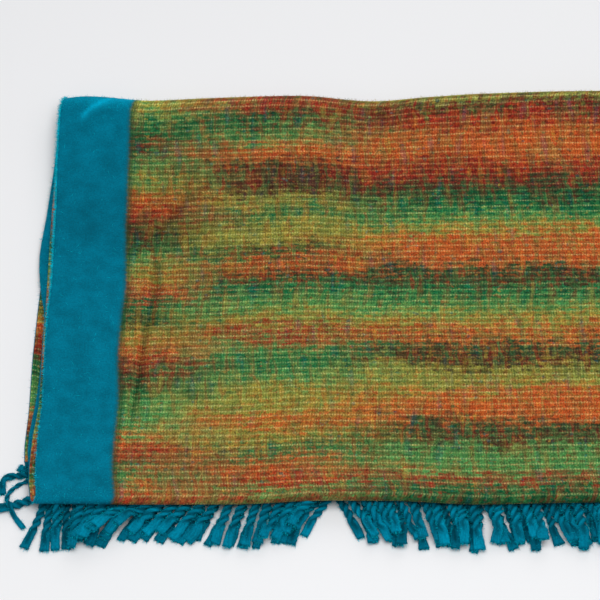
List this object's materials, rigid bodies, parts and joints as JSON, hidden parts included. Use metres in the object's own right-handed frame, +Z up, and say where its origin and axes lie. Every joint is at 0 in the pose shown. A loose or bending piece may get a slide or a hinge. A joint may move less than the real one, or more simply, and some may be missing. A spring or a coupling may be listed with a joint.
{
  "type": "wool blanket",
  "caption": "Thick brushed wool blanket with plain side bands and twisted fringes at both ends, folded in half twice and laid flat.",
  "frame": {"origin": "middle of the folded blanket's footprint, fringe included, on the surface it lies on", "axes": "+X along the folded front edge to the viewer's right, +Y from the fringed front to the rear fold, +Z up"},
  "size_m": [1.296, 0.6684, 0.0311],
  "materials": {
    "woven_wool": "brushed space-dyed weave with teal side bands",
    "teal_wool": "felted twisted yarn"
  },
  "bodies": {
    "root": {"blanket_cloth": "woven_wool", "fringe_lower": "teal_wool", "fringe_upper": "teal_wool"}
  },
  "joints": []
}
